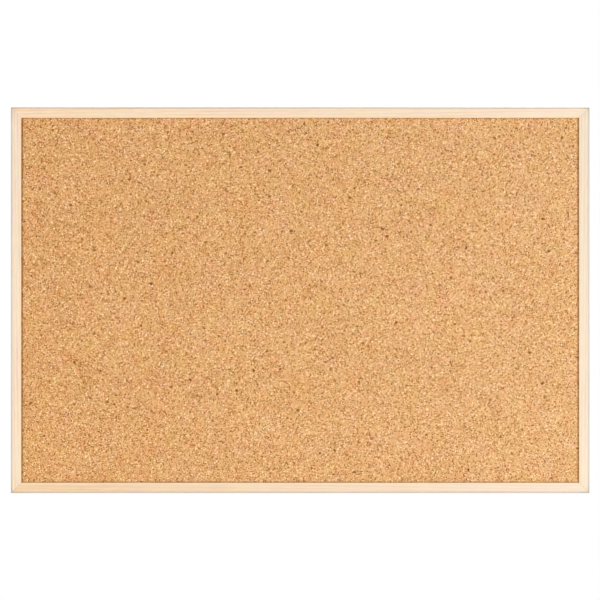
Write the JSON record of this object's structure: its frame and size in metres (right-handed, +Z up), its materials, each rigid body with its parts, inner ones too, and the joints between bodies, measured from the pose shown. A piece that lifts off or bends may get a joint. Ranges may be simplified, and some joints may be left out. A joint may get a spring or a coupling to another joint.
{
  "type": "cork board",
  "caption": "Landscape cork notice board: a flat cork panel in a slim mitred pine frame, hung on the wall by D-ring hangers on the backs of its stiles.",
  "frame": {"origin": "midway between the axes of the wall screws that carry the raised D-rings, on the wall's surface", "axes": "+X along the board's width, to the right as seen from the front; +Y from the cork face back to the wall; +Z up"},
  "size_m": [0.9, 0.0219, 0.6],
  "materials": {
    "pine": "sanded pale pine under a clear satin lacquer",
    "cork": "sanded natural granulated cork",
    "softboard": "raw wood-fibre softboard",
    "kraft_paper": "matt brown kraft paper",
    "bright_steel": "bright mild steel",
    "zinc_plate": "bright zinc plating"
  },
  "bodies": {
    "board": {"top_rail": "pine", "bottom_rail": "pine", "left_stile": "pine", "right_stile": "pine", "cork_sheet": "cork", "softboard_core": "softboard", "backing_paper": "kraft_paper", "v_nail_top_left_outer": "bright_steel", "v_nail_top_left_inner": "bright_steel", "v_nail_top_right_outer": "bright_steel", "v_nail_top_right_inner": "bright_steel", "v_nail_bottom_right_outer": "bright_steel", "v_nail_bottom_right_inner": "bright_steel", "v_nail_bottom_left_outer": "bright_steel", "v_nail_bottom_left_inner": "bright_steel", "left_hanger_strap": "zinc_plate", "right_hanger_strap": "zinc_plate", "left_hanger_screw": "bright_steel", "right_hanger_screw": "bright_steel"},
    "left_ring": {"left_d_ring": "zinc_plate"},
    "right_ring": {"right_d_ring": "zinc_plate"}
  },
  "joints": [
    {"name": "left_ring_hinge", "type": "hinge", "parent": "board", "child": "left_ring", "pos_m": [-0.443, -0.00195, -0.0086], "axis": [-1, 0, 0], "range_deg": [-4, 184]},
    {"name": "right_ring_hinge", "type": "hinge", "parent": "board", "child": "right_ring", "pos_m": [0.443, -0.00195, -0.0086], "axis": [-1, 0, 0], "range_deg": [-4, 184]}
  ]
}
